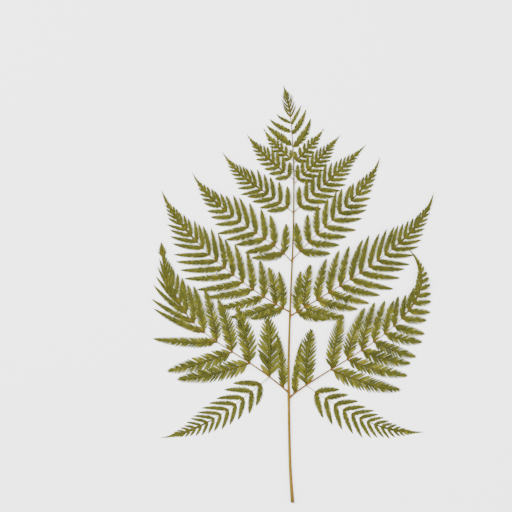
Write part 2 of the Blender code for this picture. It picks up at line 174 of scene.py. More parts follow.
# half the width of a pinnule along its length: deeply cut ones, and barely cut ones
CUT_PROFILE = (
    (0.0, 0.85), (0.10, 1.0), (0.30, 1.0), (0.50, 0.90), (0.68, 0.70), (0.82, 0.47), (0.93, 0.25),
    (1.0, 0.05),
)
WHOLE_PROFILE = (
    (0.0, 0.85), (0.14, 1.0), (0.36, 0.94), (0.6, 0.72), (0.8, 0.43), (0.93, 0.17), (1.0, 0.03)
)
LOBE_LENGTH = 0.011  # a pinnule shorter than this is a single lobe
COSTA_WING = 0.30  # of a pinnule's reach, taken by the leaf that joins it to the next
COSTA_WING_MOST = 0.26  # of the space between pinnules
COSTA_END = 0.00016
ROOT_SWELL = (0.5, 0.004)  # how much thicker a costa is at its root, and for how far
TAIL_PAIRS = 10  # of single leaflets, beyond the last pinnules
TAIL_SHRINK = 0.90
TAIL_ANGLE = 38.0
TAIL_SPACES = 6.6  # of the first size, that they take
TAIL_REACH = 0.62
LEAFLET_SPAN = (0.055, 0.945)  # share of a pinnule's length
LEAFLET_OFFSET = 0.12  # of a space, between the leaflets of a pair
LEAFLET_SHRINK = 0.955
LEAFLET_SPACE = 0.29  # of a pinnule's width, between the leaflets at its root
WHOLE_DEPTH = 0.12
DEEP_WIDTH = 0.0225
LEAFLET_LEAN = (52.0, 38.0)  # degrees between a leaflet and its midrib, at the root and the tip
LEAFLET_FULL = 1.0  # width of a leaflet over the space that it has
WHOLE_FULL = 1.15  # the same for a barely cut pinnule
LEAN_CHANCE = (0.94, 1.06)
REACH_CHANCE = (0.95, 1.05)
LEAFLET_THICK = (0.45, 220.0)  # share of the full thickness, and more for its half width
BROAD_BELOW = 0.55  # depth of the cuts, under which the leaflets are broad lobes

Side = namedtuple("Side", "reach angle fill divided", defaults=(None,))


# ---- lines in the plane
def heading(degrees):
    """Unit vector that points this many degrees round from +X."""
    turn = math.radians(degrees)
    return Vector((math.cos(turn), math.sin(turn)))


def degrees_of(way):
    """Heading of a vector."""
    return math.degrees(math.atan2(way.y, way.x))


def blend(pair, share):
    """Value between two, this far from the first to the second."""
    return pair[0] + (pair[1] - pair[0]) * share


def table_value(table, share):
    """Value of a table of (share, value) rows at a share."""
    return float(np.interp(share, [row[0] for row in table], [row[1] for row in table]))


def smooth_between(values, place):
    """Value at a fractional place in a row of values, on a smooth curve through them."""
    last = len(values) - 1
    step = min(int(place), last - 1)
    part = place - step
    here, there = values[step : step + 2]
    lead = (there - values[max(step - 1, 0)]) / 2
    follow = (values[min(step + 2, last)] - here) / 2
    return (
        here * (2 * part**3 - 3 * part**2 + 1)
        + lead * (part**3 - 2 * part**2 + part)
        + there * (3 * part**2 - 2 * part**3)
        + follow * (part**3 - part**2)
    )


class Axis:
    """A curved line in the plane, walked by its length."""

    SAMPLES = 60

    def __init__(self, points):
        self.points = points
        self.marks = [0.0]
        for before, after in zip(points, points[1:]):
            self.marks.append(self.marks[-1] + (after - before).length)
        self.length = self.marks[-1]

    @classmethod
    def pulled(cls, root, pull_1, pull_2, tip):
        """From root to tip, pulled towards two points on the way."""
        root, pull_1, pull_2, tip = (Vector(point) for point in (root, pull_1, pull_2, tip))
        points = []
        for step in range(cls.SAMPLES + 1):
            part = step / cls.SAMPLES
            rest = 1 - part
            pulled = pull_1 * 3 * rest**2 * part + pull_2 * 3 * rest * part**2
            points.append(root * rest**3 + pulled + tip * part**3)
        return cls(points)

    @classmethod
    def turning(cls, root, start, bend, length):
        """From root at a heading of start degrees, turning by bend degrees on its way."""
        points = [Vector(root)]
        for step in range(cls.SAMPLES):
            way = heading(start + bend * (step / cls.SAMPLES) ** 2)
            points.append(points[-1] + way * length / cls.SAMPLES)
        return cls(points)

    def at(self, distance):
        """Point and direction at this distance from the root."""
        step = 0
        while step < len(self.points) - 2 and self.marks[step + 1] < distance:
            step += 1
        before, after = self.points[step], self.points[step + 1]
        way = (after - before).normalized()
        return before + way * (distance - self.marks[step]), way

    def beside(self, x, y):
        """Distances of points from the line, positive on its left, and shares of the way."""
        line = np.array([tuple(point) for point in self.points])
        steps = line[1:] - line[:-1]
        long = np.linalg.norm(steps, axis=1)
        ways = steps / long[:, None]
        nearest = np.full(len(x), np.inf)
        aside = np.zeros(len(x))
        share = np.zeros(len(x))
        for step in range(len(steps)):
            dx, dy = x - line[step, 0], y - line[step, 1]
            along = np.clip(dx * ways[step, 0] + dy * ways[step, 1], 0.0, long[step])
            away = np.hypot(dx - along * ways[step, 0], dy - along * ways[step, 1])
            closer = away < nearest
            nearest[closer] = away[closer]
            cross = ways[step, 0] * dy - ways[step, 1] * dx
            aside[closer] = cross[closer]
            share[closer] = (self.marks[step] + along[closer]) / self.length
        return aside, share


def stem_place(height):
    """Place in STEM_LINE, as a fraction, at this height up the frond."""
    return float(np.interp(height, [row[1] for row in STEM_LINE], range(len(STEM_LINE))))


def spaced(first, last, count, shrink=SHRINK):
    """Places from first to last whose spaces shrink evenly."""
    total = (1 - shrink ** (count - 1)) / (1 - shrink)
    space = (last - first) / total
    places = [first]
    for step in range(count - 1):
        places.append(places[-1] + space * shrink**step)
    return places


def reach_share(share, fall=REACH_FALL, power=1.0):
    """Length of a pinnule this far along its costa, over that of the longest."""
    return min(1.0, (REACH_END - share) / fall) ** power


# ---- bones: lines and leaflet places
class Bones:
    """The lines of a piece and the places of its leaflets, which the growth tree dresses."""

    NUMBERS = ("rib", "wing", "leaflet", "age")
    ARROWS = ("turn", "size")

    def __init__(self, seed):
        self.chance = random.Random(seed)
        self.points = []
        self.edges = []
        self.values = {name: [] for name in self.NUMBERS + self.ARROWS}
        self.kinds = []

    def place(self, x, y, z, kind=0, **given):
        """A point with its values."""
        self.points.append((x - FROND_CENTRE[0], y - FROND_CENTRE[1], z))
        for name in self.NUMBERS:
            self.values[name].append(given.get(name, 0.0))
        for name in self.ARROWS:
            self.values[name].append(given.get(name, (0.0, 0.0, 0.0)))
        self.kinds.append(kind)

    def line(self, rows):
        """A line through rows of (x, y, z, rib, wing, age)."""
        start = len(self.points)
        for x, y, z, rib, wing, age in rows:
            self.place(x, y, z, rib=rib, wing=wing, age=age)
        self.edges += [(start + step, start + step + 1) for step in range(len(rows) - 1)]

    def mesh(self, name):
        """The bones as a mesh whose points hold the values."""
        mesh = bpy.data.meshes.new(name)
        mesh.from_pydata(self.points, self.edges, [])
        for key in self.NUMBERS:
            numbers = mesh.attributes.new(key, "FLOAT", "POINT")
            numbers.data.foreach_set("value", self.values[key])
        for key in self.ARROWS:
            flat = np.array(self.values[key], dtype=np.float32).ravel()
            arrows = mesh.attributes.new(key, "FLOAT_VECTOR", "POINT")
            arrows.data.foreach_set("vector", flat)
        mesh.attributes.new("kind", "INT", "POINT").data.foreach_set("value", self.kinds)
        return mesh


def leaflet_at(bones, point, z, way, hand, lean, reach, space, full, age, broad):
    """A leaflet that stands on a midrib at a point. hand: 1 on its left, -1 on its right."""
    chance = bones.chance
    lean = math.radians(lean * chance.uniform(*LEAN_CHANCE))
    long = reach / math.sin(lean) * chance.uniform(*REACH_CHANCE)
    wide = space * math.sin(lean) * full / 2
    turn = (0.0, 0.0, math.radians(way) + hand * lean)
    kind = (2 if broad else 0) + (0 if hand > 0 else 1)
    thick = min(1.0, LEAFLET_THICK[0] + wide * LEAFLET_THICK[1])
    bones.place(
        point.x, point.y, z, kind, leaflet=1.0, turn=turn, size=(long, wide, thick), age=age
    )


def leaflet_pairs(length, width):
    """How many pairs of leaflets a pinnule has, from the space that the first ones take."""
    spaces = (LEAFLET_SPAN[1] - LEAFLET_SPAN[0]) * length / (width * LEAFLET_SPACE)
    share = max(0.30, 1.0 - (1.0 - LEAFLET_SHRINK) * spaces)
    return max(4, 1 + round(math.log(share) / math.log(LEAFLET_SHRINK)))


def pinnule(bones, root, way, side, length, width, age):
    """One pinnule with its leaflets. way: its heading; side: 1 on the left of its costa."""
    chance = bones.chance
    curl = PINNULE_CURL * chance.uniform(*CURL_CHANCE)
    way += chance.uniform(-WAY_CHANCE, WAY_CHANCE)
    length *= chance.uniform(*LENGTH_CHANCE)
    half = width / 2 * FULLER
    depth = min(1.0, WHOLE_DEPTH + width / DEEP_WIDTH)  # how deeply it is cut
    pairs = leaflet_pairs(length, width)
    arch = chance.uniform(*ARCH_CHANCE) * min(1.0, length / LONG_PINNULE)
    droop = chance.uniform(*DROOP_CHANCE) * min(1.0, length / LONG_PINNULE)

    def along(share):
        """Point, height and heading at a share of the pinnule's length."""
        turned = way - side * curl * share
        height = arch * math.sin(math.pi * share) + droop * share**2
        return root + heading(turned) * length * share, height, turned - side * curl * share

    def half_width(share):
        """Half the width of the pinnule there."""
        both = (table_value(WHOLE_PROFILE, share), table_value(CUT_PROFILE, share))
        return half * blend(both, depth)

    rib = MIDRIB_LEAST + length * MIDRIB_THICK
    wing_root, wing_more, wing_power = CUT_WING
    rows = []
    for share in (step / 12 for step in range(13)):
        point, height, _ = along(share)
        joined = max(0.0, share - CUT_WING_FROM) / (1 - CUT_WING_FROM)
        cut = wing_root + wing_more * joined**wing_power
        wing = half_width(share) * (WHOLE_WING * (1 - depth) + depth * cut)
        wing = min(wing, half * 1.5 * (share + blend((0.7, 0.08), depth)))  # narrow at the foot
        thick = rib * (1 - share) + MIDRIB_END
        rows.append((point.x, point.y, height, thick, wing, min(1.0, age + 0.55 * share**3)))
    bones.line(rows)
    places = spaced(*LEAFLET_SPAN, pairs, LEAFLET_SHRINK)
    for step, share in enumerate(places):
        space = (places[min(step + 1, pairs - 1)] - places[min(step, pairs - 2)]) * length
        for hand in (1, -1):
            shift = share + hand * side * LEAFLET_OFFSET * space / length
            point, height, turned = along(shift)
            reach = half_width(share) * (1.0 if step else 0.9)
            full = blend((WHOLE_FULL, LEAFLET_FULL), depth)
            older = min(1.0, age + 0.5 * share**3)
            leaflet_at(
                bones, point, height, turned, hand, blend(LEAFLET_LEAN, share), reach, space,
                full, older, depth < BROAD_BELOW,
            )


def grow(bones, axis, places, sides, rib, age):
    """Grow a costa with its pinnules. sides: the Side on its left (1) and on its right (-1)."""
    last = places[-1] / axis.length
    # the shorter a costa, the nearer to its root its pinnules are joined
    joined = max(0.0, min(0.55, (axis.length - 0.08) / 0.25))
    gaps = np.diff(places)

    def reach_at(share):
        """Mean length of the pinnules there, which goes on dwindling to the tip."""
        there = min(share, last)
        mean = sum(rules.reach(len(places), there) for rules in sides.values()) / 2
        return mean * (1.0 if share <= last else (1.0 - share) / (1.0 - last))

    rows = []
    for share in (step / 40 for step in range(41)):
        point, _ = axis.at(share * axis.length)
        swell = 1.0 + ROOT_SWELL[0] * math.exp(-share * axis.length / ROOT_SWELL[1])
        near = min(1.0, max(0.0, (share - joined) / 0.25))
        gap = float(np.interp(share * axis.length, places[:-1], gaps))
        wing = near * min(COSTA_WING * reach_at(share), COSTA_WING_MOST * gap)
        thick = (rib * (1 - share) + COSTA_END) * swell
        rows.append((point.x, point.y, 0.0, thick, wing, min(1.0, age + 0.4 * share**4)))
    bones.line(rows)
    for step, place in enumerate(places):
        share = place / axis.length
        space = min(gaps[min(step, len(gaps) - 1)], gaps[max(step - 1, 0)])
        point, way = axis.at(place)
        way = degrees_of(way)
        for side, rules in sides.items():
            angle = rules.angle(step, share)
            length = rules.reach(step, share)
            spread = math.sin(math.radians(max(angle, LEAST_SPREAD)))
            width = space * WIDTH_SHARE * spread * rules.fill(step)
            older = min(1.0, age + 0.25 * share**4)
            if rules.divided == step:
                divided(bones, side, point, way + side * angle)
            elif length > LOBE_LENGTH:
                pinnule(bones, point, way + side * angle, side, length, width, older)
            elif length > 0:
                leaflet_at(
                    bones, point, 0.0, way, side, angle, length * spread, space, 1.05, older, False
                )
    # the tail beyond the last pinnules has single leaflets
    tail = 1 - last
    shares = spaced(last + tail * 0.13, 1 - tail * 0.06, TAIL_PAIRS, TAIL_SHRINK)
    for step, share in enumerate(shares):
        point, way = axis.at(share * axis.length)
        space = tail * axis.length / TAIL_SPACES * TAIL_SHRINK**step
        for hand in (1, -1):
            leaflet_at(
                bones, point, 0.0, degrees_of(way), hand, TAIL_ANGLE,
                reach_at(share) * TAIL_REACH, space, 1.1, min(1.0, age + 0.5), False,
            )


def plain_side(longest, angles, turn=1.0, fill=1.0):
    """A side whose pinnules dwindle evenly towards the tip."""
    return Side(
        lambda step, share: longest * reach_share(share),
        lambda step, share: blend(angles, share**turn),
        lambda step: fill,
    )


def divided(bones, side, root, way):
    """The large lowest pinnule, with small pinnules of its own."""
    hand = -side
    axis = Axis.turning(root, way, -side * DIVIDED_BEND[hand], DIVIDED_REACH[hand])
    first, last = axis.length * DIVIDED_FIRST, axis.length * LAST_PAIR
    places = spaced(first, last, DIVIDED_PAIRS, DIVIDED_SHRINK)
    upper = plain_side(DIVIDED_UPPER[hand], DIVIDED_SPREAD, fill=DIVIDED_FILL)
    lower = plain_side(DIVIDED_LOWER[hand], DIVIDED_SPREAD, fill=DIVIDED_FILL)
    grow(bones, axis, places, {-side: upper, side: lower}, DIVIDED_THICK, DIVIDED_AGE)


# ---- node trees
class Wire:
    """An output socket. Sums with it add their Math nodes."""

    def __init__(self, bench, socket):
        self.bench = bench
        self.socket = socket

    def sum(self, operation, first, second):
        """A Math node between two values."""
        return self.bench.node("ShaderNodeMath", {"operation": operation}, {0: first, 1: second})

    def turned(self, operation):
        """A Math node on this value alone."""
        return self.bench.node("ShaderNodeMath", {"operation": operation}, {0: self})

    def __add__(self, other):
        return self.sum("ADD", self, other)

    def __radd__(self, other):
        return self.sum("ADD", other, self)

    def __sub__(self, other):
        return self.sum("SUBTRACT", self, other)

    def __rsub__(self, other):
        return self.sum("SUBTRACT", other, self)

    def __mul__(self, other):
        return self.sum("MULTIPLY", self, other)


class Bench:
    """A node tree that is being built."""

    def __init__(self, tree):
        self.tree = tree

    def node(self, kind, settings=None, sockets=None, out=0):
        """Add a node: its settings first, then its sockets. Returns one of its outputs."""
        made = self.tree.nodes.new(kind)
        for key, value in (settings or {}).items():
            if key == "stops":
                self.stops(made.color_ramp, value)
            else:
                setattr(made, key, value)
        for key, value in (sockets or {}).items():
            for single in value if isinstance(value, list) else [value]:
                if isinstance(single, Wire):
                    self.tree.links.new(single.socket, made.inputs[key])
                else:
                    made.inputs[key].default_value = single
        return Wire(self, made.outputs[out]) if len(made.outputs) else made

    @staticmethod
    def stops(ramp, rows):
        """Set a ramp's stops: (place, value or colour)."""
        while len(ramp.elements) < len(rows):
            ramp.elements.new(0.5)
        for element, (place, value) in zip(ramp.elements, rows):
            element.position = place
            colour = value if isinstance(value, tuple) else (value, value, value)
            element.color = (*colour, 1.0)


class Finish(Bench):
    """A material."""

    def __init__(self, name):
        self.material = bpy.data.materials.new(name)
        self.material.use_nodes = True
        super().__init__(self.material.node_tree)
        self.tree.nodes.clear()

    def value_of(self, name, out="Fac"):
        """A value that the mesh's points hold."""
        return self.node("ShaderNodeAttribute", {"attribute_name": name}, out=out)

    def spots(self, where, scale, detail=3.0, roughness=0.5):
        """Cloudy noise, 0 to 1."""
        return self.node(
            "ShaderNodeTexNoise", None,
            {"Vector": where, "Scale": scale, "Detail": detail, "Roughness": roughness},
        )

    def ramp(self, value, *stops):
        """Value or colour that follows another value."""
        return self.node("ShaderNodeValToRGB", {"stops": stops}, {"Fac": value})

    def mixed(self, share, first, second, how="MIX"):
        """Two colours mixed."""
        return self.node(
            "ShaderNodeMix", {"data_type": "RGBA", "blend_type": how},
            {0: share, 6: self.full(first), 7: self.full(second)}, out=2,
        )

    @staticmethod
    def full(colour):
        """A colour with its fourth number."""
        return colour if isinstance(colour, Wire) else (*colour, 1.0)

    def bump(self, height, distance, strength, under=None):
        """Relief in metres."""
        sockets = {"Height": height, "Distance": distance, "Strength": strength}
        if under:
            sockets["Normal"] = under
        return self.node("ShaderNodeBump", None, sockets)

    def done(self, **sockets):
        """The shader with its output."""
        shader = self.node(
            "ShaderNodeBsdfPrincipled", None,
            {key.replace("_", " "): value for key, value in sockets.items()},
        )
        self.node("ShaderNodeOutputMaterial", None, {"Surface": shader})
        return self.material


def leaf_finish():
    """Olive bracken green, browner along the ribs and at the tips, with painted shade that darkens
    each leaflet towards its base and the wings along the ribs.
    """
    finish = Finish("bracken_leaf")
    where = finish.node("ShaderNodeTexCoord", out="Object")
    tint = finish.value_of("tint")
    vein = finish.value_of("vein")
    age = finish.value_of("age")
    blade = finish.value_of("blade", "Vector")
    apart = finish.node("ShaderNodeSeparateXYZ", None, {0: blade}).socket.node
    along = Wire(finish, apart.outputs[0])
    aside = Wire(finish, apart.outputs[1]).turned("ABSOLUTE")
    clouds = finish.spots(where, 28.0)
    grain = finish.spots(where, 900.0, 3.0, 0.6)
    green = finish.ramp(
        clouds * 0.45 + tint * 0.55,
        (0.18, (0.050, 0.060, 0.0018)),
        (0.42, (0.100, 0.112, 0.0042)),
        (0.62, (0.165, 0.172, 0.0090)),
        (0.84, (0.290, 0.270, 0.0200)),
    )
    edge = finish.ramp(along * 0.5 + aside * 0.5, (0.55, 0.0), (1.0, 1.0))
    # painted shade: each leaflet darker towards its base, and the wings along the ribs as dark as
    # those bases
    shade = finish.ramp(along, (0.0, 0.50), (0.65, 1.0))
    green = finish.mixed(0.8, green, shade, "MULTIPLY")
    green = finish.mixed(edge * 0.35, green, (0.170, 0.152, 0.0140))
    brown = finish.mixed(grain, (0.110, 0.058, 0.006), (0.205, 0.128, 0.020))
    patches = finish.spots(where, 60.0, 4.0, 0.6) * 0.6 + age * 0.8
    green = finish.mixed(finish.ramp(patches, (0.62, 0.0), (0.95, 1.0)) * 0.7, green, brown)
    rib = finish.mixed(clouds, (0.048, 0.038, 0.003), (0.112, 0.082, 0.007))
    stout = finish.ramp(finish.value_of("rib") * 1000.0, (0.30, 0.0), (0.85, 1.0))
    rib = finish.mixed(stout, rib, (0.190, 0.085, 0.008))
    colour = finish.mixed(vein * 0.8, green, rib)
    colour = finish.mixed(0.22, colour, finish.ramp(grain, (0.25, 0.25), (0.75, 1.0)), "MULTIPLY")
    ridges = ((along * 8.0 + aside * -1.6) * (2 * math.pi)).turned("SINE")
    relief = finish.bump(ridges * (1.0 - vein), 0.00012, 0.6)
    relief = finish.bump(grain, 0.00010, 0.7, relief)
    rough = 0.50 + grain * 0.16 + vein * 0.05
    return finish.done(Base_Color=colour, Roughness=rough, Normal=relief, Specular_IOR_Level=0.22)


def stem_finish():
    """Straw olive on one side, orange brown on the other, darker at the foot."""
    finish = Finish("bracken_stalk")
    where = finish.node("ShaderNodeTexCoord", out="Object")
    side = finish.value_of("side")
    climb = finish.value_of("climb")
    stretched = finish.node(
        "ShaderNodeMapping", None, {"Vector": where, "Scale": (1.0, 0.06, 1.0)}
    )
    fibres = finish.spots(stretched, 2600.0, 3.0, 0.6)
    streaks = finish.spots(stretched, 700.0, 3.0, 0.6)
    clouds = finish.spots(where, 60.0)
    split = finish.ramp(side * 0.5 + 0.5 + (streaks - 0.5) * 0.45, (0.36, 0.0), (0.66, 1.0))
    straw = finish.mixed(clouds, (0.165, 0.132, 0.006), (0.250, 0.200, 0.012))
    orange = finish.mixed(clouds, (0.160, 0.060, 0.003), (0.270, 0.112, 0.005))
    lower = finish.mixed(split, straw, orange)
    upper = finish.mixed(split, (0.092, 0.072, 0.005), (0.128, 0.068, 0.005))
    colour = finish.mixed(finish.ramp(climb, (0.30, 0.0), (0.85, 1.0)), lower, upper)
    foot = finish.ramp(climb + (clouds - 0.5) * 0.02, (0.0, 1.0), (0.035, 0.0))
    colour = finish.mixed(foot * 0.75, colour, (0.070, 0.035, 0.010))
    flecks = finish.ramp(finish.spots(where, 520.0, 2.0, 0.7), (0.66, 0.0), (0.74, 1.0))
    colour = finish.mixed(flecks * 0.6, colour, (0.060, 0.035, 0.012))
    lines = finish.ramp(fibres, (0.25, 0.3), (0.75, 1.0))
    colour = finish.mixed(0.35, colour, lines, "MULTIPLY")
    relief = finish.bump(fibres, 0.00012, 0.6)
    relief = finish.bump(streaks, 0.00030, 0.5, relief)
    rough = 0.42 + fibres * 0.2 + flecks * 0.1
    return finish.done(Base_Color=colour, Roughness=rough, Normal=relief, Specular_IOR_Level=0.2)


def cut_finish():
    """The cut end of the stalk: pale pith with dark bundles."""
    finish = Finish("bracken_cut")
    where = finish.node("ShaderNodeTexCoord", out="Object")
    cells = finish.node("ShaderNodeTexVoronoi", None, {"Vector": where, "Scale": 900.0})
    bundles = finish.ramp(cells, (0.10, 1.0), (0.34, 0.0))
    pith = finish.spots(where, 1500.0)
    colour = finish.mixed(pith, (0.420, 0.330, 0.160), (0.620, 0.520, 0.300))
    colour = finish.mixed(bundles * 0.8, colour, (0.130, 0.070, 0.025))
    return finish.done(Base_Color=colour, Roughness=0.8, Normal=finish.bump(pith, 0.0002, 0.5))


def floor_finish():
    """A plain pale table."""
    finish = Finish("pale_table")
    return finish.done(
        Base_Color=(0.93, 0.93, 0.925, 1.0), Roughness=0.9, Specular_IOR_Level=0.2,
        Emission_Color=(1.0, 1.0, 0.995, 1.0), Emission_Strength=1.5,
    )


# ---- the growth tree
def growth_tree():
    """Ribs and leafy wings along lines, and a leaflet on every leaflet place."""
    tree = bpy.data.node_groups.new("frond_growth", "GeometryNodeTree")
    sockets = (
        ("Bones", "NodeSocketGeometry", None),
        ("Leaflets", "NodeSocketCollection", None),
        ("Rib Section", "NodeSocketObject", None),
        ("Wing Section", "NodeSocketObject", None),
        ("Thickness", "NodeSocketFloat", 0.0005),
        ("Tilt", "NodeSocketFloat", 0.12),
        ("Seed", "NodeSocketInt", 1),
        ("Leaf Finish", "NodeSocketMaterial", None),
    )
    for name, kind, value in sockets:
        made = tree.interface.new_socket(name, in_out="INPUT", socket_type=kind)
        if value is not None:
            made.default_value = value
    tree.interface.new_socket("Geometry", in_out="OUTPUT", socket_type="NodeSocketGeometry")
    bench = Bench(tree)
    source = bench.node("NodeGroupInput").socket.node
    given = {name: Wire(bench, source.outputs[name]) for name, _, _ in sockets}

    def held(name, kind="FLOAT"):
        """A value that the bones' points hold."""
        return bench.node("GeometryNodeInputNamedAttribute", {"data_type": kind}, {"Name": name})

    parted = bench.node(
        "GeometryNodeSeparateGeometry", {"domain": "POINT"}, {0: given["Bones"], 1: held("leaflet")}
    ).socket.node
    places, lines = Wire(bench, parted.outputs[0]), Wire(bench, parted.outputs[1])

    sockets = {0: given["Leaflets"], 1: True, 2: True}
    shapes = bench.node("GeometryNodeCollectionInfo", None, sockets)
    tilt = bench.node(
        "FunctionNodeRandomValue", {"data_type": "FLOAT_VECTOR"},
        {0: (-1.0, -0.5, -0.3), 1: (1.0, 0.5, 0.3), "Seed": given["Seed"]},
    )
    large = bench.node("ShaderNodeCombineXYZ", None, {0: 1.0, 1: 1.0, 2: given["Thickness"]})

    def arrows(operation, first, sockets):
        """A vector sum."""
        return bench.node("ShaderNodeVectorMath", {"operation": operation}, {0: first, **sockets})

    tilt = arrows("SCALE", tilt, {"Scale": given["Tilt"]})
    turn = arrows("ADD", held("turn", "FLOAT_VECTOR"), {1: tilt})
    large = arrows("MULTIPLY", held("size", "FLOAT_VECTOR"), {1: large})
    leaflets = bench.node(
        "GeometryNodeInstanceOnPoints", None,
        {0: places, 2: shapes, 3: True, 4: held("kind", "INT"), 5: turn, 6: large},
    )
    sockets = {2: 0.0, 3: 1.0, "Seed": given["Seed"] + 7}
    tint = bench.node("FunctionNodeRandomValue", None, sockets, out=1)

    def marked(shape, name, value, domain="POINT"):
        """A shape whose parts all hold a value."""
        return bench.node(
            "GeometryNodeStoreNamedAttribute", {"domain": domain}, {0: shape, 2: name, 3: value}
        )

    leaflets = marked(leaflets, "tint", tint, "INSTANCE")
    leaflets = bench.node("GeometryNodeSetMaterial", None, {0: leaflets, 2: given["Leaf Finish"]})

    curves = bench.node("GeometryNodeMeshToCurve", None, {0: lines})
    curves = bench.node("GeometryNodeSetCurveNormal", {"mode": "Z_UP"}, {0: curves})

    def drawn(section, radius):
        """A section drawn along the lines."""
        outline = bench.node("GeometryNodeObjectInfo", None, {0: given[section]}, out=4)
        outline = bench.node("GeometryNodeMeshToCurve", None, {0: outline})
        sockets = {0: curves, 1: outline, 2: radius, 3: True}
        return bench.node("GeometryNodeCurveToMesh", None, sockets)

    ribs = marked(drawn("Rib Section", held("rib")), "vein", 1.0)
    wings = marked(drawn("Wing Section", held("wing")), "tint", 0.5)
    joined = bench.node("GeometryNodeJoinGeometry", None, {0: [leaflets, ribs, wings]})
    real = bench.node("GeometryNodeRealizeInstances", None, {0: joined})
    real = bench.node("GeometryNodeSetMaterial", None, {0: real, 2: given["Leaf Finish"]})
    bench.node("NodeGroupOutput", None, {0: real})
    return tree


def placed(name, data):
    """A new object in the scene."""
    made = bpy.data.objects.new(name, data)
    bpy.context.scene.collection.objects.link(made)
    return made


def dressed(name, bones, tree, **inputs):
    """The mesh that the growth tree makes of some bones."""
    lines = placed(name + "_bones", bones.mesh(name + "_bones"))
    modifier = lines.modifiers.new("growth", "NODES")
    modifier.node_group = tree
    identifiers = {
        item.name: item.identifier for item in tree.interface.items_tree if item.in_out == "INPUT"
    }
    for key, value in inputs.items():
        modifier[identifiers[key.replace("_", " ")]] = value
    bpy.context.view_layer.update()
    evaluated = lines.evaluated_get(bpy.context.evaluated_depsgraph_get())
    mesh = bpy.data.meshes.new_from_object(evaluated)
    lines.modifiers.clear()
    bpy.data.objects.remove(lines, do_unlink=True)
    mesh.name = name
    return mesh


# ---- the shapes that are repeated
def closed_mesh(name, points, faces, values=()):
    """A mesh with values on its points."""
    mesh = bpy.data.meshes.new(name)
    mesh.from_pydata(points, [], faces)
    shape = bmesh.new()
    shape.from_mesh(mesh)
    bmesh.ops.recalc_face_normals(shape, faces=shape.faces[:])
    shape.to_mesh(mesh)
    shape.free()
    for key, kind, data in values:
        field = "value" if kind == "FLOAT" else "vector"
        held = mesh.attributes.new(key, kind, "POINT")
        held.data.foreach_set(field, np.array(data, dtype=np.float32).ravel())
    return mesh


def leaflet_shape(name, hand, outline, falcate):
    """One leaflet along +X, 1 long and 1 to each side. It bends to -Y if hand is 1."""
    columns = (-1.0, -0.5, 0.0, 0.5, 1.0)
    points, vein, blade, rows = [], [], [], []
    for share, half in outline:
        middle = -hand * falcate * share**1.6
        row = []
        for across in columns:
            lift = 0.5 * (1 - across**4) - 0.9 * across**2 * half
            lift -= (0.55 if across == 0 else 0.0) * (1 - share)  # the dip of the midrib
            row.append(len(points))
            points.append((share, middle + across * half, lift + 0.25 * math.sin(math.pi * share)))
            vein.append(1.0 - 0.4 * share if across == 0 else 0.0)
            blade.append((share, across, 0.0))
        rows.append(row)
    tip = len(points)
    points.append((1.0, -hand * falcate, -0.6))
    vein.append(0.0)
    blade.append((1.0, 0.0, 0.0))
    under = []
    for share, half in outline:
        under.append(len(points))
        points.append((share, -hand * falcate * share**1.6, -0.9))
        vein.append(0.6)
        blade.append((share, 0.0, 0.0))
    first, last = rows[0], rows[-1]
    faces = []
    for low, high in zip(rows, rows[1:]):
        for step in range(4):
            faces.append((low[step], high[step], high[step + 1], low[step + 1]))
    faces += [(last[step], tip, last[step + 1]) for step in range(4)]
    for step, (low, high) in enumerate(zip(rows, rows[1:])):
        faces.append((low[0], under[step], under[step + 1], high[0]))
        faces.append((under[step], low[4], high[4], under[step + 1]))
    faces += [(last[0], under[-1], tip), (under[-1], last[4], tip)]
    faces += [(*first[:3], under[0]), (*first[2:], under[0])]
    values = (("vein", "FLOAT", vein), ("blade", "FLOAT_VECTOR", blade))
    return bpy.data.objects.new(name, closed_mesh(name, points, faces, values))


LEAFLET_OUTLINE = ((0.0, 0.95), (0.2, 0.92), (0.42, 1.0), (0.64, 0.88), (0.85, 0.52))
LOBE_OUTLINE = ((0.0, 1.15), (0.3, 1.08), (0.55, 0.98), (0.78, 0.78), (0.93, 0.45))
RIB_SIDES = 10
WING_OUTLINE = ((-1.0, 0.0), (-0.5, 0.05), (0.0, 0.02), (0.5, 0.05), (1.0, 0.0), (0.0, -0.06))


def leaflet_shapes():
    """The leaflets that the growth tree picks from: left and right, cut and whole."""
    shapes = bpy.data.collections.new("leaflet_shapes")
    for broad, (outline, falcate) in enumerate(((LEAFLET_OUTLINE, 0.8), (LOBE_OUTLINE, 0.5))):
        for right, hand in enumerate((1, -1)):
            name = f"leaflet_{2 * broad + right}"
            shapes.objects.link(leaflet_shape(name, hand, outline, falcate))
    return shapes


def section(name, points):
    """A closed outline, to be drawn along the lines."""
    mesh = bpy.data.meshes.new(name)
    count = len(points)
    edges = [(step, (step + 1) % count) for step in range(count)]
    mesh.from_pydata([(x, y, 0.0) for x, y in points], edges, [])
    return bpy.data.objects.new(name, mesh)


def rib_section():
    """Round."""
    turns = [2 * math.pi * (step + 0.5) / RIB_SIDES for step in range(RIB_SIDES)]
    return section("rib_section", [(math.cos(turn), math.sin(turn)) for turn in turns])


def wing_section():
    """Flat and thin, with a dip for the rib in the middle."""
    return section("wing_section", WING_OUTLINE)


# ---- pieces
def piece_of(name, mesh, node, slot_name, *finishes):
    """Make a mesh a piece of the frond."""
    mesh.materials.clear()
    for material in finishes:
        mesh.materials.append(material)
    mesh.polygons.foreach_set("use_smooth", [True] * len(mesh.polygons))
    piece = placed(name, mesh)
    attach(piece, "root")
    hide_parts(node)
    return piece


def points_of(mesh):
    """Its points, as rows of x, y and z."""
    spots = np.empty(len(mesh.vertices) * 3, dtype=np.float32)
    mesh.vertices.foreach_get("co", spots)
    return spots.reshape(-1, 3)


def move_points(mesh, spots):
    """Put its points in new places."""
    mesh.vertices.foreach_set("co", spots.astype(np.float32).ravel())
    mesh.update()


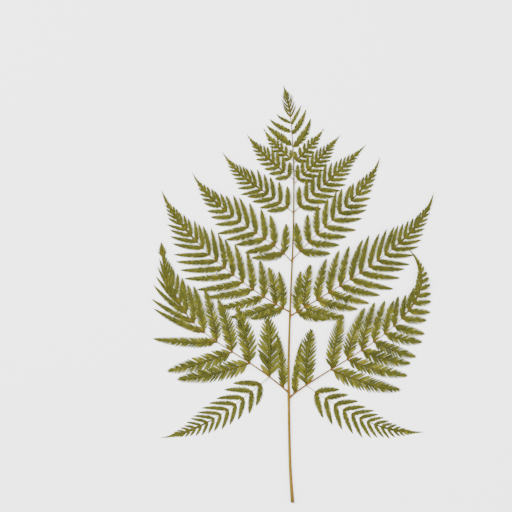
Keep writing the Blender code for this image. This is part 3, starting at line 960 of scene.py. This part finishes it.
def raise_leaf(mesh, axis, hand, lift, lower, rise):
    """Lay a leafy piece like a shingle: low beyond its lower edge, high over the pinna above."""
    spots = points_of(mesh).astype(np.float64)
    aside, share = axis.beside(spots[:, 0] + FROND_CENTRE[0], spots[:, 1] + FROND_CENTRE[1])
    swing = lift - LEAF_THICK / 2 - SINK_CLEARANCE
    breadth = max(SHINGLE_LEAST, lower * SHINGLE_SHARE)
    raised = np.maximum(0.0, (share - RISE_FROM) / (1.0 - RISE_FROM))
    height = lift + swing * np.tanh(hand * aside / breadth) + rise * raised**RISE_POWER
    z = height + spots[:, 2] + LEAF_ABOVE - TABLE_GAP
    # what would sink into the table is pressed flat on it
    z = TABLE_GAP + 0.5 * (z + np.sqrt(z**2 + SOFT_LANDING**2)) - SOFT_LANDING * 0.15
    spots[:, 2] = np.maximum(z, TABLE_LEAST)
    move_points(mesh, spots)


def lowest_plan(row, hand, length):
    """Places and sides of a lowest pinna's pinnules."""
    first, second, third = (length * share for share in LOWEST_PLACES[hand])
    places = [first, second]
    places += spaced(third, length * LAST_PAIR, row.pairs, LOWEST_SHRINK[hand])
    gain, power = LOWEST_REACH[hand]
    plain = plain_side(row.upper, UPPER_ANGLE, UPPER_TURN)
    upper = Side(
        lambda step, share: row.upper * reach_share(share, *LOWEST_FALL[hand]),
        lambda step, share: plain.angle(step, share) if step else BESIDE_STEM_ANGLE,
        lambda step: (BESIDE_STEM_FILL, FIRST_FILL, LOWEST_FILL)[min(step, 2)],
    )

    def lower_angle(step, share):
        """Angle of a lower pinnule."""
        return DIVIDED_ANGLE[hand] if step == 1 else table_value(LOWEST_ANGLE[hand], share)

    # no lower pinnule beside the stem, and the next one is divided again
    lower = Side(
        lambda step, share: gain * (1.0 - share) ** power if step else 0.0,
        lower_angle, lambda step: LOWEST_FILL, divided=1,
    )
    return places, upper, lower


def pinna_plan(row, length):
    """Places and sides of the pinnules of a pinna above the lowest."""
    places = spaced(length * FIRST_PAIR, length * LAST_PAIR, row.pairs)
    upper = plain_side(row.upper, UPPER_ANGLE, UPPER_TURN, UPPER_FILL)
    lower = plain_side(row.lower, LOWER_ANGLE, LOWER_TURN, UPPER_FILL)
    if length > NEAR_STEM_LENGTH:
        places.insert(0, length * NEAR_STEM)

        def fill(step):
            """Fuller near the stem."""
            return UPPER_FILL * (NEAR_STEM_FILL[step] if step < 2 else 1.0)

        def lower_reach(step, share):
            """Shorter beside the stem."""
            return row.lower * reach_share(share) * (1.0 if step else NEAR_STEM_LOWER)

        upper = upper._replace(fill=fill)
        lower = lower._replace(fill=fill, reach=lower_reach)
    return places, upper, lower


def make_pinna(name, row, hand, lowest, seed, kit):
    """One pinna. hand: -1 on the frond's left, 1 on its right."""
    place = stem_place(row.height)
    root = (smooth_between([point[0] for point in STEM_LINE], place), row.height)
    axis = Axis.pulled(root, row.pull_1, row.pull_2, row.tip)
    bones = Bones(seed)
    rib = COSTA_THICK * axis.length
    if row.pairs == 0:
        simple_pinna(bones, axis, {hand: row.upper, -hand: row.lower}, rib)
    else:
        plan = lowest_plan(row, hand, axis.length) if lowest else pinna_plan(row, axis.length)
        places, upper, lower = plan
        grow(bones, axis, places, {hand: upper, -hand: lower}, rib, 0.0)
    mesh = dressed(name, bones, **kit, Seed=seed)
    raise_leaf(mesh, axis, hand, smooth_between(STEM_LIFT, place), row.lower, row.rise)
    return piece_of(name + "_leaf", mesh, name, "bracken_green", kit["Leaf_Finish"])


def simple_pinna(bones, axis, reach, rib):
    """A small undivided pinna with a toothed edge."""
    rows = []
    for share in (step / 16 for step in range(17)):
        point, _ = axis.at(share * axis.length)
        wing = min(reach.values()) * table_value(SMALL_PINNA_OUTLINE, share) * SMALL_PINNA_WING
        wing *= min(1.0, share * 8)
        thick = rib * (1 - share) + MIDRIB_LEAST
        rows.append((point.x, point.y, 0.0, thick, wing, 0.3 * share**2))
    bones.line(rows)
    places = spaced(0.07, 0.95, SMALL_PINNA_TEETH, SMALL_PINNA_SHRINK)
    for step, share in enumerate(places):
        point, way = axis.at(share * axis.length)
        space = SMALL_PINNA_SPACE * axis.length * SMALL_PINNA_SHRINK**step
        wide = table_value(SMALL_PINNA_OUTLINE, share) * SMALL_TOOTH_REACH
        for hand in (1, -1):
            leaflet_at(
                bones, point, 0.0, degrees_of(way), hand, SMALL_TOOTH_ANGLE, reach[hand] * wide,
                space, 1.0, 0.3 * share, False,
            )


def make_tip(name, seed, kit):
    """The top of the frond, where the stem carries single small leaflets."""
    axis = Axis.pulled(TIP_ROOT, *TIP_PULLS, TIP_END)
    bones = Bones(seed)
    both = plain_side(TIP_REACH, TIP_ANGLE)._replace(
        reach=lambda step, share: TIP_REACH * reach_share(share) * (1.0 - share / 2)
    )
    places = spaced(axis.length * TIP_FIRST, axis.length * TIP_LAST, TIP_PAIRS)
    grow(bones, axis, places, {1: both, -1: both}, TIP_THICK, TIP_AGE)
    mesh = dressed(name, bones, **kit, Seed=seed)
    spots = points_of(mesh)
    spots[:, 2] += STEM_LIFT[-1]
    move_points(mesh, spots)
    return piece_of(name + "_leaf", mesh, name, "bracken_green", kit["Leaf_Finish"])


STEM_RINGS = 260
STEM_SIDES = 20
JOINT_SWELL = 0.16  # how much thicker the stem is where a pinna leaves it
JOINT_REACH = 0.0035
GROOVE_DEPTH = 0.22  # of its half thickness
GROOVE_WIDTH = 0.32  # radians
CUT_BEYOND = -0.33  # y: a face beyond it that looks down the stem is the cut foot


def make_stem(name, node, finishes):
    """Stem and rachis: a tapering stalk with a grooved top and a cut foot."""
    heights = [row.height for row in LEFT_PINNAE + RIGHT_PINNAE]
    points, side, climb = [], [], []
    for step in range(STEM_RINGS + 1):
        place = (len(STEM_LINE) - 1) * step / STEM_RINGS
        x = smooth_between([row[0] for row in STEM_LINE], place)
        y = smooth_between([row[1] for row in STEM_LINE], place)
        z = smooth_between(STEM_LIFT, place)
        girth = smooth_between(STEM_GIRTH, place)
        swell = sum(math.exp(-(((y - height) / JOINT_REACH) ** 2)) for height in heights)
        half = girth / 2 * (1 + JOINT_SWELL * min(1.0, swell))
        for count in range(STEM_SIDES):
            turn = 2 * math.pi * count / STEM_SIDES
            groove = GROOVE_DEPTH * math.exp(-(((turn - math.pi / 2) / GROOVE_WIDTH) ** 2))
            near = Vector((math.cos(turn) * 3, math.sin(turn) * 3, y * 160))
            rough = 1 + 0.045 * noise.noise(near) + 0.05 * max(0.0, noise.noise(near * 2.3) - 0.25)
            far = half * (1 - groove) * rough
            points.append((
                x - FROND_CENTRE[0] + math.cos(turn) * far,
                y - FROND_CENTRE[1],
                z + math.sin(turn) * far,
            ))
            side.append(math.cos(turn))
            climb.append(y / STEM_LINE[-1][1])
    faces = []
    for step in range(STEM_RINGS):
        low, high = step * STEM_SIDES, (step + 1) * STEM_SIDES
        for count in range(STEM_SIDES):
            after = (count + 1) % STEM_SIDES
            faces.append((low + count, low + after, high + after, high + count))
    faces.append(tuple(range(STEM_SIDES)))
    faces.append(tuple(reversed(range(len(points) - STEM_SIDES, len(points)))))
    mesh = closed_mesh(name, points, faces, (("side", "FLOAT", side), ("climb", "FLOAT", climb)))
    piece = piece_of(name, mesh, node, "bracken_stem", *finishes)
    for face in mesh.polygons:
        if face.normal.y < -0.9 and face.center.y < CUT_BEYOND:
            face.material_index = 1
            face.use_smooth = False
    return piece


# ---- table, lights and camera
TABLE_HALF = 4.0
WORLD_STRENGTH = 1.05
# lamps: place, width and power
LAMPS = {
    "key_light": ((-1.2, 1.0, 2.2), 1.6, 112.0),
    "fill_light": ((1.6, -0.8, 1.8), 2.0, 38.0),
}


def make_table():
    """A plain pale table."""
    corners = [(x * TABLE_HALF, y * TABLE_HALF, 0) for x, y in ((-1, -1), (1, -1), (1, 1), (-1, 1))]
    mesh = bpy.data.meshes.new("table")
    mesh.from_pydata(corners, [], [(0, 1, 2, 3)])
    mesh.materials.append(floor_finish())
    placed("table", mesh)


def make_light(name, place, size, power):
    """A large soft lamp that points at the frond."""
    lamp = bpy.data.lights.new(name, "AREA")
    lamp.shape = "SQUARE"
    lamp.size = size
    lamp.energy = power
    holder = placed(name, lamp)
    holder.location = place
    holder.rotation_euler = (-Vector(place)).to_track_quat("-Z", "Y").to_euler()


VIEW_CENTRE = (-0.05765, 0.0600)
VIEW_WIDTH = 0.8192  # across the view, on the table
VIEW_HEIGHT = 4.0
SENSOR = 36.0


def make_camera():
    """A camera straight above the frond, with a long lens."""
    lens = bpy.data.cameras.new("above")
    lens.sensor_width = SENSOR
    lens.lens = SENSOR * VIEW_HEIGHT / VIEW_WIDTH
    lens.clip_end = 50.0
    camera = placed("above", lens)
    camera.location = (*VIEW_CENTRE, VIEW_HEIGHT)
    bpy.context.scene.camera = camera


def make_world():
    """Even pale light from all round."""
    world = bpy.data.worlds.new("studio")
    world.use_nodes = True
    light = world.node_tree.nodes["Background"].inputs
    light["Color"].default_value = (1.0, 1.0, 1.0, 1.0)
    light["Strength"].default_value = WORLD_STRENGTH
    bpy.context.scene.world = world


def main():
    """Build the frond and its studio."""
    kit = {
        "tree": growth_tree(),
        "Leaflets": leaflet_shapes(),
        "Rib_Section": rib_section(),
        "Wing_Section": wing_section(),
        "Thickness": 0.00045,
        "Tilt": 0.12,
        "Leaf_Finish": leaf_finish(),
    }
    make_stem("stalk", "stipe_and_rachis", (stem_finish(), cut_finish()))
    for hand, word, rows in ((-1, "left", LEFT_PINNAE), (1, "right", RIGHT_PINNAE)):
        for count, row in enumerate(rows, 1):
            name, seed = f"pinna_{word}_{count:02d}", 40 * (hand + 2) + count
            make_pinna(name, row, hand, count == 1, seed, kit)
    make_tip("frond_tip", 9, kit)
    make_table()
    for name, lamp in LAMPS.items():
        make_light(name, *lamp)
    make_world()
    make_camera()


main()
